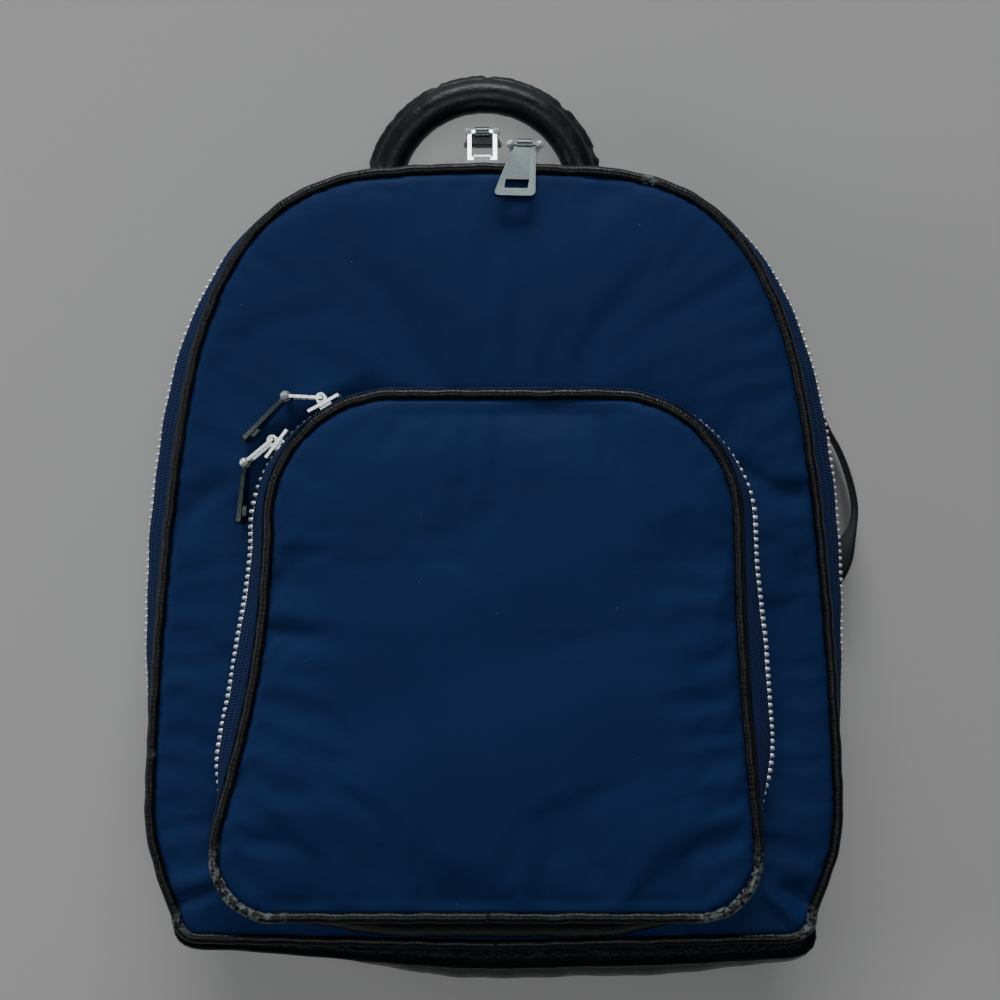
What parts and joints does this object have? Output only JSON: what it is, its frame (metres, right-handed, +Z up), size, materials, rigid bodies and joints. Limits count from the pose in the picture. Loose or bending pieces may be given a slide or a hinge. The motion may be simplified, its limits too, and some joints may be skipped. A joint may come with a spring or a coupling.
{
  "type": "backpack",
  "caption": "Small fabric backpack lying on its back, with leather piping, a zipped main compartment, a zipped front pocket, a carrying handle and shoulder straps.",
  "frame": {"origin": "bottom centre of the box round the whole bag as it lies on its back", "axes": "+Z up, out of the front of the bag; +Y towards the carrying handle; +X to the right, seen from the front"},
  "size_m": [0.2896, 0.358, 0.0897],
  "materials": {
    "nylon": "fine twill with a soft satin sheen",
    "leather": "smooth black, semi-gloss, worn at the edges",
    "zip_tape": "herringbone woven tape",
    "zip_metal": "polished nickel",
    "nickel": "satin nickel",
    "webbing": "ribbed webbing",
    "board": "stiff fibreboard",
    "lining": "plain woven lining"
  },
  "bodies": {
    "shell": {"back_panel": "nylon", "back_piping": "leather", "rear_gusset": "nylon", "base_gusset": "leather", "base_board": "board", "inner_slip_pocket": "lining", "main_zip_tape_rear": "zip_tape", "main_zip_teeth_rear": "zip_metal", "strap_yoke": "leather", "shoulder_strap_left": "nylon", "shoulder_strap_right": "nylon", "webbing_left": "webbing", "webbing_right": "webbing", "lower_anchor_left": "leather", "lower_anchor_right": "leather"},
    "front": {"front_panel": "nylon", "front_piping": "leather", "main_zip_tape_front": "zip_tape", "main_zip_teeth_front": "zip_metal", "pocket_zip_tape_rear": "zip_tape", "pocket_zip_teeth_rear": "zip_metal", "pocket_base_gusset": "leather"},
    "pocket_front": {"pocket_panel": "nylon", "pocket_piping": "leather", "pocket_zip_tape_front": "zip_tape", "pocket_zip_teeth_front": "zip_metal"},
    "handle": {"handle": "leather"},
    "adjuster_left": {"strap_adjuster_left": "nickel"},
    "adjuster_right": {"strap_adjuster_right": "nickel"},
    "main_left_slider_body": {"main_left_slider": "nickel"},
    "main_left_bail_body": {"main_left_bail": "nickel"},
    "main_left_tab_body": {"main_left_tab": "nickel"},
    "main_right_slider_body": {"main_right_slider": "nickel"},
    "main_right_bail_body": {"main_right_bail": "nickel"},
    "main_right_tab_body": {"main_right_tab": "nickel"},
    "pocket_upper_slider_body": {"pocket_upper_slider": "nickel"},
    "pocket_upper_bail_body": {"pocket_upper_bail": "nickel"},
    "pocket_upper_tab_body": {"pocket_upper_tab": "nickel"},
    "pocket_lower_slider_body": {"pocket_lower_slider": "nickel"},
    "pocket_lower_bail_body": {"pocket_lower_bail": "nickel"},
    "pocket_lower_tab_body": {"pocket_lower_tab": "nickel"}
  },
  "joints": [
    {"name": "front_opening", "type": "hinge", "parent": "shell", "child": "front", "pos_m": [-0.00832, -0.15903, 0.072], "axis": [1, 0, 0], "range_deg": [0, 20]},
    {"name": "pocket_opening", "type": "hinge", "parent": "front", "child": "pocket_front", "pos_m": [-0.00832, -0.14903, 0.088], "axis": [1, 0, 0], "range_deg": [0, 20]},
    {"name": "handle_lift", "type": "hinge", "parent": "shell", "child": "handle", "pos_m": [-0.01232, 0.14347, 0.03], "axis": [1, 0, 0], "range_deg": [0, 50]},
    {"name": "adjuster_left_slide", "type": "slide", "parent": "shell", "child": "adjuster_left", "axis": [0, -1, 0], "range_m": [0, 0.018]},
    {"name": "adjuster_right_slide", "type": "slide", "parent": "shell", "child": "adjuster_right", "axis": [0, -1, 0], "range_m": [0, 0.018]},
    {"name": "main_left_slider_travel", "type": "hinge", "parent": "shell", "child": "main_left_slider_body", "pos_m": [-0.00832, -0.37703, 0.06], "axis": [0, 0, 1], "range_deg": [0, 1.8]},
    {"name": "main_left_bail_swing", "type": "hinge", "parent": "main_left_slider_body", "child": "main_left_bail_body", "pos_m": [-0.01286, 0.13935, 0.06], "axis": [1, 0.0088, 0], "range_deg": [0, 105]},
    {"name": "main_left_tab_swing", "type": "hinge", "parent": "main_left_bail_body", "child": "main_left_tab_body", "pos_m": [-0.01296, 0.15113, 0.0545], "axis": [1, 0.0088, 0], "range_deg": [-25, 75]},
    {"name": "main_right_slider_travel", "type": "hinge", "parent": "front", "child": "main_right_slider_body", "pos_m": [-0.00832, -0.37703, 0.06], "axis": [0, 0, 1], "range_deg": [-2.9, 0]},
    {"name": "main_right_bail_swing", "type": "hinge", "parent": "main_right_slider_body", "child": "main_right_bail_body", "pos_m": [0.00328, 0.13924, 0.06], "axis": [0.9997, -0.0225, 0], "range_deg": [-75, 0]},
    {"name": "main_right_tab_swing", "type": "hinge", "parent": "main_right_bail_body", "child": "main_right_tab_body", "pos_m": [0.00334, 0.14203, 0.0727], "axis": [0.9997, -0.0225, 0], "range_deg": [-140, 0]},
    {"name": "pocket_upper_slider_travel", "type": "hinge", "parent": "front", "child": "pocket_upper_slider_body", "pos_m": [-0.04452, -0.00473, 0.081], "axis": [0, 0, 1], "range_deg": [-20, 0]},
    {"name": "pocket_upper_bail_swing", "type": "hinge", "parent": "pocket_upper_slider_body", "child": "pocket_upper_bail_body", "pos_m": [-0.07235, 0.04547, 0.081], "axis": [0, 0, 1], "range_deg": [-50, 0]},
    {"name": "pocket_upper_tab_swing", "type": "hinge", "parent": "pocket_upper_bail_body", "child": "pocket_upper_tab_body", "pos_m": [-0.08533, 0.04614, 0.081], "axis": [0, 0, 1], "range_deg": [-95, 0]},
    {"name": "pocket_lower_slider_travel", "type": "hinge", "parent": "front", "child": "pocket_lower_slider_body", "pos_m": [-0.04452, -0.00473, 0.081], "axis": [0, 0, 1], "range_deg": [0, 12]},
    {"name": "pocket_lower_bail_swing", "type": "hinge", "parent": "pocket_lower_slider_body", "child": "pocket_lower_bail_body", "pos_m": [-0.09036, 0.02982, 0.081], "axis": [0, 0, 1], "range_deg": [-20, 0]},
    {"name": "pocket_lower_tab_swing", "type": "hinge", "parent": "pocket_lower_bail_body", "child": "pocket_lower_tab_body", "pos_m": [-0.10036, 0.02151, 0.081], "axis": [0, 0, 1], "range_deg": [-85, 0]}
  ]
}
